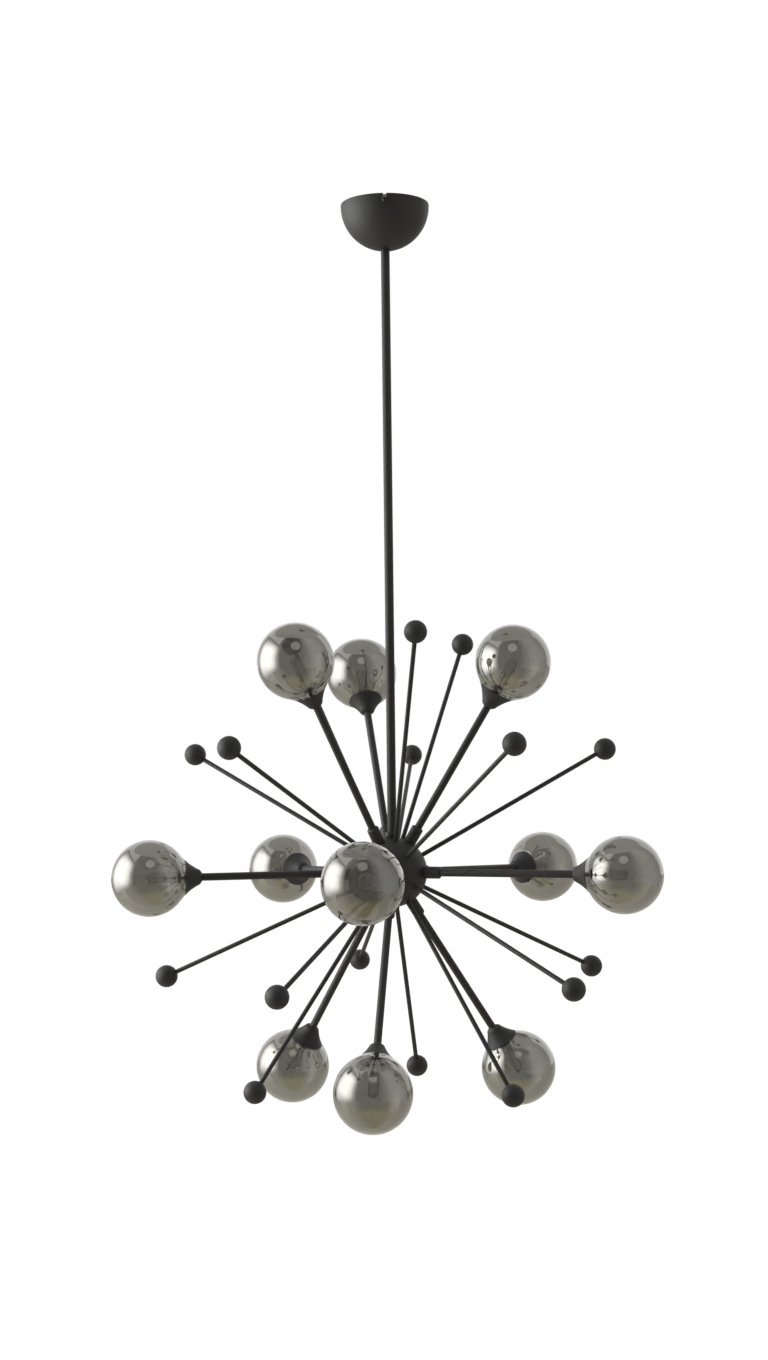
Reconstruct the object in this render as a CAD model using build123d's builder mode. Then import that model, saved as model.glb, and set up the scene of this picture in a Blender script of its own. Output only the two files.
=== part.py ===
from build123d import *
import os
from math import acos, atan2, cos, hypot, radians, sin, sqrt

# Ceiling light: a half-ball canopy, a long stem and a ball hub, from which eleven glass globes on arms
# and sixteen thin rods with small balls stand out like the seeds of a dandelion.
# Millimetres. The origin is on the ceiling, in the middle of the bracket. +Z is up, the front is -Y.

# Overall layout
HUB_DROP = 905.0  # ceiling to the hub's centre
LIGHT_REACH = 324.0  # hub's centre to the centre of a globe
ACCENT_REACH = 341.0  # hub's centre to the centre of a small ball

# Rings of spokes: name, angle from straight up, azimuth of the first spoke from the front, count
LIGHT_RINGS = [
    ("upper", 31.5, -46.0, 3),
    ("middle", 90.4, -6.3, 5),
    ("lower", 146.1, -8.7, 3),
]
ACCENT_RINGS = [
    ("crown", 24.2, 13.7, 3),
    ("high", 61.5, 30.1, 5),
    ("low", 114.0, -26.8, 5),
    ("foot", 145.3, 50.6, 3),
]

# Clearances
FIT = 0.05  # radial play of pieces that are screwed or pushed together
SLIDING = 0.4  # radial play of what slides or turns by hand
SEAT_GAP = 0.4  # glass shoulder to the cup's rim, and canopy rim to the ceiling

# Canopy: a spun half ball with a short straight rim
CANOPY_D = 120.0
CANOPY_RIM = 2.0
CANOPY_WALL = 1.2

# Ceiling bracket: a strip bent like a hat, with an ear down at each end
BRACKET_WIDTH = 16.0
BRACKET_THICKNESS = 2.0
BRACKET_LENGTH = 112.0
BRIDGE_DROP = 20.0  # ceiling to the top of the lowered middle
BRIDGE_LENGTH = 32.0
LEG_RUN = 9.0  # how far a leg goes outward as it rises to the ceiling
EAR_LENGTH = 15.0
BEND_R = 3.0
SLOT_SPACING = 78.0
SLOT_LENGTH = 14.0
SLOT_WIDTH = 5.0

# Side screws that hold the canopy to the ears
SCREW_DROP = 10.0
SCREW_D = 4.0
SCREW_HEAD_D = 7.0
SCREW_HEAD_LENGTH = 3.0

# Nipple and nuts between bracket and stem
NIPPLE_D = 10.0
NIPPLE_BORE = 7.2
NIPPLE_GRIP = 16.0  # length inside the stem
NIPPLE_PROUD = 2.0  # thread that shows past the top nut
NUT_FLATS = 14.0
NUT_THICKNESS = 4.0
NUT_GAP = 6.0  # between the bracket's lower nut and the nut on the stem

# Stem and the collar that stops the hub from sliding up it
STEM_D = 12.0
STEM_END = 30.0  # hub's centre down to the stem's lower end
WINDOW_HEIGHT = 9.0
WINDOW_WIDTH = 5.0
STEM_COLLAR_D = 19.0
STEM_COLLAR_LENGTH = 7.0
STEM_COLLAR_CHAMFER = 1.0

# Terminal block and supply lead
BLOCK_LENGTH = 28.0
BLOCK_WIDTH = 16.0
BLOCK_HEIGHT = 14.0
BLOCK_FILLET = 2.0
BLOCK_WAYS = 3
BLOCK_HOLE_D = 4.2
LEAD_D = 4.0
LEAD_SIDE = 8.0  # straight run out of the block
LEAD_TOP = 6.0  # ceiling to the middle of the lead where it turns down
LEAD_BEND_R = 5.0
LEAD_EXIT_R = 3.5  # bend at the stem's window

# Hub: a ball in two shells that meet below the middle arms, clamped by a screw from below
HUB_D = 93.0
HUB_WALL = 2.0
SEAM_DROP = 13.0  # hub's centre to the seam
LIP_HEIGHT = 2.5
LIP_WALL = 1.4
FINIAL_D = 18.0
FINIAL_HEIGHT = 7.0
FINIAL_GRIP = 10.0  # length of the finial's screw inside the stem
JUNCTION_D = 40.0
JUNCTION_HEIGHT = 36.0

# Light arms
ARM_D = 10.0
ARM_BORE = 7.0
ARM_ROOT = 38.0  # hub's centre to the arm's inner end
ARM_NUT_FLATS = 15.0
ARM_NUT_THICKNESS = 3.5
WIRE_D = 4.4
COLLAR_D = 16.0
COLLAR_LENGTH = 23.5  # past the hub's surface
COLLAR_CHAMFER = 2.0

# Cups at the arms' ends: spun trumpets on turned bushes, in one line with the flare of the glass
BUSH_BACK_D = 19.0
BUSH_SHOULDER = 3.0  # length of the sloped back
BUSH_LENGTH = 11.0
BUSH_FILLET = 1.5
BUSH_WEB = 2.0  # in front of the arm's end, with a hole for the wire
CUP_LENGTH = 16.0
CUP_WALL = 1.2
CUP_SEAT = 7.0  # bush's back to the step that the cup sits on
RIM_TO_CENTRE = 46.0  # cup's rim to the globe's centre
FLARE_R = 70.0  # hollow curve that glass, cup and bush share

# Glass globes: a ball that flares down to a flat shoulder and a short neck, with a silicone ring
GLOBE_D = 100.0
GLASS = 2.0
NECK_D = 28.0
NECK_LENGTH = 5.5
NECK_RING_WALL = 1.0
NECK_RING_LENGTH = 4.0
NECK_RING_INSET = 0.5  # from the neck's end

# Lampholders and bulbs
SLEEVE_LENGTH = 13.5
HOLDER_D = 17.0
HOLDER_LENGTH = 21.5
PIN_SPACING = 9.0
PIN_D = 1.2
PIN_LENGTH = 6.0
BULB_BASE_D = 15.0
BULB_BASE_LENGTH = 10.0
BULB_D = 13.6
BULB_LENGTH = 41.0

# Accent rods and balls
ROD_D = 6.0
ROD_ROOT = 42.0  # hub's centre to the rod's inner end
ROD_GRIP = 6.0  # length inside the ball
BALL_D = 30.0

# Radii and places that follow from the sizes above
hub_r = HUB_D / 2
hub_inner_r = hub_r - HUB_WALL
stem_hole_r = STEM_D / 2 + FIT
arm_hole_r = ARM_D / 2 + FIT
canopy_r = CANOPY_D / 2
bowl_z = -SEAT_GAP - CANOPY_RIM
ear_y = BRACKET_LENGTH / 2
bridge_y = BRIDGE_LENGTH / 2
bridge_z = -BRIDGE_DROP
nut_z = bridge_z - BRACKET_THICKNESS - NUT_THICKNESS
stem_top = nut_z - NUT_GAP - NUT_THICKNESS
stem_bottom = -HUB_DROP - STEM_END
cup_rim = LIGHT_REACH - RIM_TO_CENTRE
cup_root = cup_rim - CUP_LENGTH
bush_back = cup_root - CUP_SEAT
bush_front = bush_back + BUSH_LENGTH
arm_end = bush_front - BUSH_WEB
neck_end = cup_rim + SEAT_GAP - NECK_LENGTH
neck_bore = NECK_D - 2 * GLASS
holder_end = bush_front + HOLDER_LENGTH

# Turned pieces are drawn as half sections: x is the radius, y runs up the axis
AXIS_SECTION = Plane.XZ
HUB_SECTION = Plane((0, 0, -HUB_DROP), x_dir=(1, 0, 0), z_dir=(0, -1, 0))
HUB_LEVEL = Plane((0, 0, -HUB_DROP))


def spoke_plane(polar, azimuth, distance=0.0):
    """Plane square to a spoke, at this distance from the hub's centre, facing outward."""
    p = radians(polar)
    a = radians(azimuth)
    out = Vector(sin(p) * sin(a), -sin(p) * cos(a), cos(p))
    return Plane(HUB_LEVEL.origin + out * distance, x_dir=(cos(a), sin(a), 0), z_dir=out)


def ring_planes(polar, first, count, distance=0.0):
    """The planes of all the spokes in one ring."""
    return [spoke_plane(polar, first + 360 / count * k, distance) for k in range(count)]


def write(builder, name):
    """Label a piece and write it to a file of its own."""
    builder.part.label = name
    export_step(builder.part, f"parts/{name}.step")


os.makedirs("parts", exist_ok=True)

# Ceiling bracket: the top line of the strip, thickened downward, then slotted and drilled
ear_faces = [Plane((0, y, -SCREW_DROP), x_dir=(1, 0, 0), z_dir=(0, y, 0)) for y in (-ear_y, ear_y)]
with BuildPart() as mounting_bracket:
    with BuildSketch(Plane.YZ):
        with BuildLine():
            FilletPolyline(
                (-ear_y, -EAR_LENGTH),
                (-ear_y, 0),
                (-bridge_y - LEG_RUN, 0),
                (-bridge_y, bridge_z),
                (bridge_y, bridge_z),
                (bridge_y + LEG_RUN, 0),
                (ear_y, 0),
                (ear_y, -EAR_LENGTH),
                radius=BEND_R,
            )
            offset(amount=BRACKET_THICKNESS, side=Side.RIGHT)
        make_face()
    extrude(amount=BRACKET_WIDTH / 2, both=True)
    with BuildSketch(Plane.XY):
        with GridLocations(0, SLOT_SPACING, 1, 2):
            SlotOverall(SLOT_LENGTH, SLOT_WIDTH, rotation=90)
        Circle(NIPPLE_D / 2 + FIT)
    extrude(amount=-BRIDGE_DROP - 2 * BRACKET_THICKNESS, mode=Mode.SUBTRACT)
    with Locations(*ear_faces):
        Hole(SCREW_D / 2 + FIT, 2 * BRACKET_THICKNESS)
write(mounting_bracket, "mounting_bracket")

# Side screws, backed off just far enough for the canopy's rim to pass under their heads
screw_seat = canopy_r + SLIDING - ear_y
with BuildPart() as canopy_screws:
    for face in ear_faces:
        with BuildSketch(face.offset(screw_seat)):
            Circle(SCREW_D / 2)
        extrude(amount=-screw_seat - 2 * BRACKET_THICKNESS)
        with BuildSketch(face.offset(screw_seat)):
            Circle(SCREW_HEAD_D / 2)
        extrude(amount=SCREW_HEAD_LENGTH)
write(canopy_screws, "canopy_screws")

# Canopy: a spun bowl with a hole for the stem and two notches that open at the rim
notch_r = SCREW_D / 2 + SLIDING
with BuildPart() as canopy:
    with BuildSketch(AXIS_SECTION):
        with Locations((0, bowl_z)):
            Circle(canopy_r)
            Circle(canopy_r - CANOPY_WALL, mode=Mode.SUBTRACT)
        with Locations((STEM_D / 2 + SLIDING, bowl_z)):
            Rectangle(CANOPY_D, CANOPY_D, align=(Align.MIN, Align.MAX), mode=Mode.INTERSECT)
        with Locations((canopy_r, bowl_z)):
            Rectangle(CANOPY_WALL, CANOPY_RIM, align=(Align.MAX, Align.MIN))
    revolve(axis=Axis.Z)
    with BuildSketch(Plane.XZ):
        with Locations((0, -SCREW_DROP)):
            Circle(notch_r)
            Rectangle(2 * notch_r, SCREW_DROP, align=(Align.CENTER, Align.MIN))
    extrude(amount=CANOPY_D, both=True, mode=Mode.SUBTRACT)
write(canopy, "canopy")

# Nipple and its three hexagon nuts: two clamp the bracket, one locks the stem
nipple_top = bridge_z + NUT_THICKNESS + NIPPLE_PROUD
nipple_bottom = stem_top - NIPPLE_GRIP
with BuildPart() as stem_nipple:
    with BuildSketch(Plane.XY.offset(nipple_bottom)):
        Circle(NIPPLE_D / 2)
        Circle(NIPPLE_BORE / 2, mode=Mode.SUBTRACT)
    extrude(amount=nipple_top - nipple_bottom)
write(stem_nipple, "stem_nipple")

with BuildPart() as nipple_nuts:
    for z in (bridge_z, nut_z, stem_top):
        with BuildSketch(Plane.XY.offset(z)):
            RegularPolygon(NUT_FLATS / 2, 6, major_radius=False)
            Circle(NIPPLE_D / 2 + FIT, mode=Mode.SUBTRACT)
        extrude(amount=NUT_THICKNESS)
write(nipple_nuts, "nipple_nuts")

# Stem: one long tube with a window inside the hub for the supply lead
with BuildPart() as stem:
    with BuildSketch(Plane.XY.offset(stem_bottom)):
        Circle(STEM_D / 2)
        Circle(NIPPLE_D / 2 + FIT, mode=Mode.SUBTRACT)
    extrude(amount=stem_top - stem_bottom)
    with BuildSketch(Plane.YZ):
        with Locations((0, -HUB_DROP)):
            SlotOverall(WINDOW_HEIGHT, WINDOW_WIDTH, rotation=90)
    extrude(amount=STEM_D, mode=Mode.SUBTRACT)
write(stem, "stem")

with BuildPart() as stem_collar:
    with BuildSketch(HUB_LEVEL.offset(hub_r)):
        Circle(STEM_COLLAR_D / 2)
        Circle(stem_hole_r, mode=Mode.SUBTRACT)
    extrude(amount=STEM_COLLAR_LENGTH)
    chamfer(stem_collar.edges().group_by(Axis.Z)[-1].sort_by(SortBy.RADIUS)[-1], STEM_COLLAR_CHAMFER)
write(stem_collar, "stem_collar")

# Terminal block under the bracket's bridge, with a row of wire holes
block_front = NUT_FLATS / sqrt(3) + SLIDING
block_y = block_front + BLOCK_WIDTH / 2
block_z = bridge_z - BRACKET_THICKNESS - BLOCK_HEIGHT / 2
with BuildPart() as terminal_block:
    with BuildSketch(Plane.XZ.offset(-block_front)):
        with Locations((0, block_z)):
            RectangleRounded(BLOCK_LENGTH, BLOCK_HEIGHT, BLOCK_FILLET)
            with GridLocations(BLOCK_LENGTH / BLOCK_WAYS, 1, BLOCK_WAYS, 1):
                Circle(BLOCK_HOLE_D / 2, mode=Mode.SUBTRACT)
    extrude(amount=-BLOCK_WIDTH)
write(terminal_block, "terminal_block")

# Supply lead: out of the block's end, up beside the bracket, over it and down through nipple and stem
lead_x = BLOCK_LENGTH / 2 + LEAD_SIDE
lead_end = sqrt(stem_hole_r**2 - (LEAD_D / 2) ** 2) - FIT
with BuildPart() as supply_lead:
    with BuildLine() as lead_path:
        FilletPolyline(
            (BLOCK_LENGTH / 2, block_y, block_z),
            (lead_x, block_y, block_z),
            (lead_x, 0, -LEAD_TOP),
            (0, 0, -LEAD_TOP),
            (0, 0, -HUB_DROP),
            (lead_end, 0, -HUB_DROP),
            radius=(LEAD_BEND_R, LEAD_BEND_R, LEAD_BEND_R, LEAD_EXIT_R),
        )
    with BuildSketch(Plane.YZ.offset(BLOCK_LENGTH / 2)):
        with Locations((block_y, block_z)):
            Circle(LEAD_D / 2)
    sweep(path=lead_path.wires()[0])
write(supply_lead, "supply_lead")


# Hub: upper body and lower cover, turned sections drilled for every spoke
def drill_spokes(lights, accents):
    """Holes in a hub shell for the arms and the rods of these rings."""
    for rings, radius in ((lights, arm_hole_r), (accents, ROD_D / 2 + FIT)):
        for name, polar, first, count in rings:
            with Locations(*ring_planes(polar, first, count, hub_r + HUB_WALL)):
                Hole(radius, 3 * HUB_WALL)


with BuildPart() as hub_body:
    with BuildSketch(HUB_SECTION):
        Circle(hub_r)
        Circle(hub_inner_r, mode=Mode.SUBTRACT)
        with Locations((stem_hole_r, -SEAM_DROP)):
            Rectangle(HUB_D, HUB_D, align=(Align.MIN, Align.MIN), mode=Mode.INTERSECT)
    revolve(axis=Axis.Z)
    drill_spokes(LIGHT_RINGS[:2], ACCENT_RINGS[:2])
write(hub_body, "hub_body")

lip_r = sqrt(hub_inner_r**2 - SEAM_DROP**2) - FIT
lip_root = sqrt(hub_inner_r**2 - (lip_r - LIP_WALL) ** 2) + HUB_WALL / 4
with BuildPart() as hub_cover:
    with BuildSketch(HUB_SECTION):
        Circle(hub_r)
        Circle(hub_inner_r, mode=Mode.SUBTRACT)
        with Locations((NIPPLE_D / 2 + FIT, -SEAM_DROP)):
            Rectangle(HUB_D, HUB_D, align=(Align.MIN, Align.MAX), mode=Mode.INTERSECT)
        with Locations((lip_r, LIP_HEIGHT - SEAM_DROP)):
            Rectangle(LIP_WALL, LIP_HEIGHT - SEAM_DROP + lip_root, align=(Align.MAX, Align.MAX))
    revolve(axis=Axis.Z)
    drill_spokes(LIGHT_RINGS[2:], ACCENT_RINGS[2:])
write(hub_cover, "hub_cover")

# Finial: a domed screw that clamps the cover to the body
dome_x = FINIAL_D / 2 * cos(radians(45))
dome_y = -hub_r - FINIAL_HEIGHT * sin(radians(45))
with BuildPart() as hub_finial:
    with BuildSketch(HUB_SECTION):
        with BuildLine():
            ThreePointArc((0, -hub_r - FINIAL_HEIGHT), (dome_x, dome_y), (FINIAL_D / 2, -hub_r))
            Polyline(
                (FINIAL_D / 2, -hub_r),
                (NIPPLE_D / 2, -hub_r),
                (NIPPLE_D / 2, FINIAL_GRIP - STEM_END),
                (0, FINIAL_GRIP - STEM_END),
                (0, -hub_r - FINIAL_HEIGHT),
            )
        make_face()
    revolve(axis=Axis.Z)
write(hub_finial, "hub_finial")

# Junction ring round the stem, where the arms' wires and the supply lead meet
with BuildPart() as junction_ring:
    with BuildSketch(HUB_SECTION):
        Circle(JUNCTION_D / 2)
        with Locations((stem_hole_r, 0)):
            Rectangle(JUNCTION_D, JUNCTION_HEIGHT, align=(Align.MIN, Align.CENTER), mode=Mode.INTERSECT)
    revolve(axis=Axis.Z)
write(junction_ring, "junction_ring")

# One light, drawn along +Z from the hub's centre at the origin

with BuildPart() as arm:
    with BuildSketch(Plane.XY.offset(ARM_ROOT)):
        Circle(ARM_D / 2)
        Circle(ARM_BORE / 2, mode=Mode.SUBTRACT)
    extrude(amount=arm_end - ARM_ROOT)

wire_start = JUNCTION_D / 2 + FIT
with BuildPart() as arm_wire:
    with BuildSketch(Plane.XY.offset(wire_start)):
        Circle(WIRE_D / 2)
    extrude(amount=bush_front - wire_start)

arm_nut_corner = ARM_NUT_FLATS / sqrt(3)
arm_nut_seat = sqrt(hub_inner_r**2 - arm_nut_corner**2) - FIT
with BuildPart() as arm_nut:
    with BuildSketch(Plane.XY.offset(arm_nut_seat)):
        RegularPolygon(arm_nut_corner, 6)
        Circle(arm_hole_r, mode=Mode.SUBTRACT)
    extrude(amount=-ARM_NUT_THICKNESS)

# The collar's foot is hollowed to sit on the ball
collar_end = hub_r + COLLAR_LENGTH
with BuildPart() as collar:
    with BuildSketch(AXIS_SECTION):
        with BuildLine():
            Polyline(
                (arm_hole_r, 0),
                (COLLAR_D / 2, 0),
                (COLLAR_D / 2, collar_end - COLLAR_CHAMFER),
                (COLLAR_D / 2 - COLLAR_CHAMFER, collar_end),
                (arm_hole_r, collar_end),
                close=True,
            )
        make_face()
        Circle(hub_r + FIT, mode=Mode.SUBTRACT)
    revolve(axis=Axis.Z)

# The flare that glass, cup and bush share touches the ball and ends at the bush's back edge. Its centre
# lies one ball radius plus one flare radius from the ball's centre, and one flare radius from that edge
globe_r = GLOBE_D / 2
edge_r = BUSH_BACK_D / 2
bush_edge = bush_back + BUSH_SHOULDER
edge_depth = LIGHT_REACH - bush_edge
edge_distance = hypot(edge_r, edge_depth)
flare_distance = globe_r + FLARE_R
opening = (edge_distance**2 + flare_distance**2 - FLARE_R**2) / (2 * edge_distance * flare_distance)
flare_angle = atan2(edge_r, edge_depth) + acos(opening)
globe_centre = Vector(0, LIGHT_REACH)
flare_out = Vector(sin(flare_angle), -cos(flare_angle))
flare_centre = globe_centre + flare_out * flare_distance


def flare_point(y, radius):
    """Point at this height on a curve struck from the flare's centre."""
    return Vector(flare_centre.X - sqrt(radius**2 - (flare_centre.Y - y) ** 2), y)


def flare_arc(start_y, end_y, radius):
    """The stretch of such a curve between two heights."""
    points = [flare_point(y, radius) for y in (start_y, (start_y + end_y) / 2, end_y)]
    return ThreePointArc(*points)


# The bush is screwed on the arm's end. It has a sloped back, and a spigot that the cup is pressed on
cup_inner_r = FLARE_R + CUP_WALL
spigot_r = flare_point(cup_root, cup_inner_r).X - FIT
wire_hole_r = WIRE_D / 2 + SLIDING
with BuildPart() as bush:
    with BuildSketch(AXIS_SECTION) as bush_section:
        with BuildLine():
            Polyline((arm_hole_r, arm_end), (arm_hole_r, bush_back), (edge_r, bush_edge))
            flare_arc(bush_edge, cup_root, FLARE_R)
            Polyline(
                flare_point(cup_root, FLARE_R),
                (spigot_r, cup_root),
                (spigot_r, bush_front),
                (wire_hole_r, bush_front),
                (wire_hole_r, arm_end),
                (arm_hole_r, arm_end),
            )
        make_face()
        fillet(bush_section.vertices().sort_by(Axis.Y)[1], BUSH_FILLET)
    revolve(axis=Axis.Z)

with BuildPart() as cup:
    with BuildSketch(AXIS_SECTION):
        with BuildLine():
            flare_arc(cup_root, cup_rim, FLARE_R)
            Line(flare_point(cup_rim, FLARE_R), flare_point(cup_rim, cup_inner_r))
            flare_arc(cup_rim, cup_root, cup_inner_r)
            Line(flare_point(cup_root, cup_inner_r), flare_point(cup_root, FLARE_R))
        make_face()
    revolve(axis=Axis.Z)

# Lampholder: a sleeve for the glass, and a narrower body with two pin holes
with BuildPart() as lampholder:
    with BuildSketch(Plane.XY.offset(bush_front)):
        Circle(neck_bore / 2 - SLIDING)
    extrude(amount=SLEEVE_LENGTH)
    with BuildSketch(Plane.XY.offset(bush_front)):
        Circle(HOLDER_D / 2)
    extrude(amount=HOLDER_LENGTH)
    with Locations((0, 0, holder_end)):
        with GridLocations(PIN_SPACING, 1, 2, 1):
            Hole(PIN_D / 2 + FIT, PIN_LENGTH + FIT)

# Capsule bulb: base, round-ended capsule and two pins
capsule_r = BULB_D / 2
bulb_tip = holder_end + BULB_LENGTH
with BuildPart() as bulb:
    with BuildSketch(AXIS_SECTION):
        with BuildLine():
            Polyline(
                (0, bulb_tip),
                (0, holder_end),
                (BULB_BASE_D / 2, holder_end),
                (BULB_BASE_D / 2, holder_end + BULB_BASE_LENGTH),
                (capsule_r, holder_end + BULB_BASE_LENGTH),
                (capsule_r, bulb_tip - capsule_r),
            )
            CenterArc((0, bulb_tip - capsule_r), capsule_r, 0, 90)
        make_face()
    revolve(axis=Axis.Z)
    with BuildSketch(Plane.XY.offset(holder_end)):
        with GridLocations(PIN_SPACING, 1, 2, 1):
            Circle(PIN_D / 2)
    extrude(amount=-PIN_LENGTH)

# Globe: ball, flare, flat shoulder over the cup's rim and straight neck, with an even wall
shoulder_y = cup_rim + SEAT_GAP


def glass_line(ball_r, shoulder):
    """Half outline of the glass from the top of the ball to the shoulder, outside or inside."""
    flare_r = flare_distance - ball_r
    joint = globe_centre + flare_out * ball_r
    ThreePointArc((0, LIGHT_REACH + ball_r), (ball_r, LIGHT_REACH), joint)
    flare_arc(joint.Y, shoulder, flare_r)
    return flare_point(shoulder, flare_r)


with BuildPart() as globe:
    with BuildSketch(AXIS_SECTION):
        with BuildLine():
            outer_edge = glass_line(globe_r, shoulder_y)
            inner_edge = glass_line(globe_r - GLASS, shoulder_y + GLASS)
            Polyline(
                outer_edge,
                (NECK_D / 2, shoulder_y),
                (NECK_D / 2, neck_end),
                (neck_bore / 2, neck_end),
                (neck_bore / 2, shoulder_y + GLASS),
                inner_edge,
            )
            Line((0, LIGHT_REACH + globe_r), (0, LIGHT_REACH + globe_r - GLASS))
        make_face()
    revolve(axis=Axis.Z)

ring_r = NECK_D / 2 + SLIDING
with BuildPart() as neck_ring:
    with BuildSketch(Plane.XY.offset(neck_end + NECK_RING_INSET)):
        Circle(ring_r + NECK_RING_WALL)
        Circle(ring_r, mode=Mode.SUBTRACT)
    extrude(amount=NECK_RING_LENGTH)

# One accent, drawn along +Z from the hub's centre at the origin

rod_tip = ACCENT_REACH - BALL_D / 2 + ROD_GRIP
with BuildPart() as accent_rod:
    with BuildSketch(Plane.XY.offset(ROD_ROOT)):
        Circle(ROD_D / 2)
    extrude(amount=rod_tip - ROD_ROOT)

with BuildPart() as accent_ball:
    with Locations((0, 0, ACCENT_REACH)):
        Sphere(BALL_D / 2)
    with BuildSketch(Plane.XY.offset(rod_tip)):
        Circle(ROD_D / 2 + FIT)
    extrude(amount=-BALL_D, mode=Mode.SUBTRACT)


# Copies of the light and the accent on every spoke
def write_copies(piece, planes, name):
    """One node that holds a copy of a piece on each of these spokes."""
    with BuildPart() as copies:
        with Locations(*planes):
            add(piece.part)
    write(copies, name)


light_planes = {name: ring_planes(*ring) for name, *ring in LIGHT_RINGS}
all_lights = sum(light_planes.values(), [])
write_copies(arm_wire, all_lights, "arm_wires")
write_copies(arm_nut, all_lights, "arm_nuts")
write_copies(bush, all_lights, "cup_bushes")
write_copies(lampholder, all_lights, "lampholders")
for name, planes in light_planes.items():
    write_copies(arm, planes, f"arms_{name}")
    write_copies(collar, planes, f"hub_collars_{name}")
    write_copies(cup, planes, f"cups_{name}")
    write_copies(bulb, planes, f"bulbs_{name}")
    for number, plane in enumerate(planes, 1):
        write_copies(globe, [plane], f"globe_{name}_{number}")
        write_copies(neck_ring, [plane], f"neck_ring_{name}_{number}")

for name, *ring in ACCENT_RINGS:
    planes = ring_planes(*ring)
    write_copies(accent_rod, planes, f"accent_rods_{name}")
    write_copies(accent_ball, planes, f"accent_balls_{name}")
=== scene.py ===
import math

import bmesh
import bpy
from mathutils import Matrix


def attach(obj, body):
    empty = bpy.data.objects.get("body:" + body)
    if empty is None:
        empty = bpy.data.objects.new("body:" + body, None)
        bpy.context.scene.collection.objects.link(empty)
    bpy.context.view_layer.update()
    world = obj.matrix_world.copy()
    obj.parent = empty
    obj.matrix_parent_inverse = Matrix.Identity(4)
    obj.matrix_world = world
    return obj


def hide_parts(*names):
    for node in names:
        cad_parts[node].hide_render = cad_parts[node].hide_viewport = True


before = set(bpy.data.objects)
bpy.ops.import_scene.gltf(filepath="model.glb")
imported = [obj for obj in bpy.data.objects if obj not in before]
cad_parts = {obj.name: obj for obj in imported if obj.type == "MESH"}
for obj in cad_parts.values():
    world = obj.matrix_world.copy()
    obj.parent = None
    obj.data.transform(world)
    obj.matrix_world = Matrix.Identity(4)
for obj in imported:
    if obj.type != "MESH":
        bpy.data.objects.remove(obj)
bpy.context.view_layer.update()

# Ceiling light with eleven smoked globes and sixteen thin rods round a ball hub.
# Shapes are drawn in millimetres, in the sizes of the solids, and put in place in metres.

# Reaches from the hub, and for each ring its angle from straight up, its first turn and its count
HUB_DROP = 905.0
LIGHT_REACH = 324.0
ACCENT_REACH = 341.0
LIGHT_RINGS = {"upper": (31.5, -46.0, 3), "middle": (90.4, -6.3, 5), "lower": (146.1, -8.7, 3)}
ACCENT_RINGS = {
    "crown": (24.2, 13.7, 3),
    "high": (61.5, 30.1, 5),
    "low": (114.0, -26.8, 5),
    "foot": (145.3, 50.6, 3),
}

# Clearances
FIT = 0.05
SLIDING = 0.4
SEAT_GAP = 0.4

# Canopy and side screws
CANOPY_R = 60.0
CANOPY_WALL = 1.2
BOWL_Z = -2.4
NOTCH_R = 2.4
NOTCH_REACH = 80.0
SCREW_DROP = 10.0
SCREW_R = 2.0
SCREW_SEAT = 60.4
SCREW_HEAD_R = 3.5
SCREW_HEAD_LENGTH = 3.0
SCREW_HEAD_BAND = 1.4
SCREW_HEAD_SLOPE = 1.1
SCREW_END = 52.0
RECESS_LENGTH = 3.8
RECESS_WIDTH = 0.9
RECESS_DEPTH = 1.2

# Nipple and its nuts
NIPPLE_R = 5.0
NIPPLE_BORE_R = 3.6
NIPPLE_TOP = -14.0
NIPPLE_BOTTOM = -52.0
NIPPLE_PITCH = 1.0
THREAD_DEPTH = 0.45
NUT_FLATS = 14.0
NUT_THICKNESS = 4.0
NUT_PLACES = (-20.0, -26.0, -36.0)

# Stem, its collar and the grub screw
STEM_R = 6.0
STEM_TOP = -36.0
STEM_BOTTOM = -935.0
STEM_COLLAR_R = 9.5
STEM_COLLAR_LENGTH = 7.0
GRUB_R = 1.5
GRUB_START = 0.3
GRUB_SINK = 0.5
GRUB_KEY = 1.5
GRUB_KEY_DEPTH = 1.7
GRUB_KEY_LENGTH = 2.4
POCKET_R = 1.6
POCKET_START = 0.6
POCKET_PAST = 2.0

# Terminal block
BLOCK_LENGTH = 28.0
BLOCK_WIDTH = 16.0
BLOCK_HEIGHT = 14.0
BLOCK_FRONT = NUT_FLATS / math.sqrt(3) + SLIDING
BLOCK_TOP = -22.0
BLOCK_WAYS = 3
WAY_GAP = 0.9
WEB_INSETS = (2.0, 5.0, 4.0)
SHELL_FOOT = 3.0
WIRE_BORE_R = 2.1
TOWER_R = 3.4
TOWER_BORE_R = 2.2
TOWER_TOP = 2.0
TOWER_ROW = 4.0
CLAMP_R = 2.1
CLAMP_SINK = 1.2
CLAMP_SLOT = (5.0, 0.6, 1.6)

# Hub and finial
HUB_R = 46.5
HUB_WALL = 2.0
SEAM_DROP = 13.0
SEAM_GAP = 0.12
FINIAL_R = 9.0
FINIAL_HEIGHT = 7.0
FINIAL_STEP = 0.6
FINIAL_DOME = 78.0
FINIAL_LEDGE = 1.0
FINIAL_BAND = 1.5
FINIAL_SHANK = 30.0

# Arms and their collars
ARM_R = 5.0
ARM_BORE_R = 3.5
ARM_ROOT = 38.0
COLLAR_R = 8.0
COLLAR_END = 70.0
COLLAR_CHAMFER = 2.0

# Bushes and cups
BUSH_BACK = 255.0
BUSH_EDGE_R = 9.5
BUSH_EDGE = 258.0
BUSH_FRONT = 266.0
BUSH_FILLET = 1.5
ARM_END = 264.0
WIRE_HOLE_R = 2.6
CUP_ROOT = 262.0
CUP_RIM = 278.0
CUP_WALL = 1.2

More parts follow.
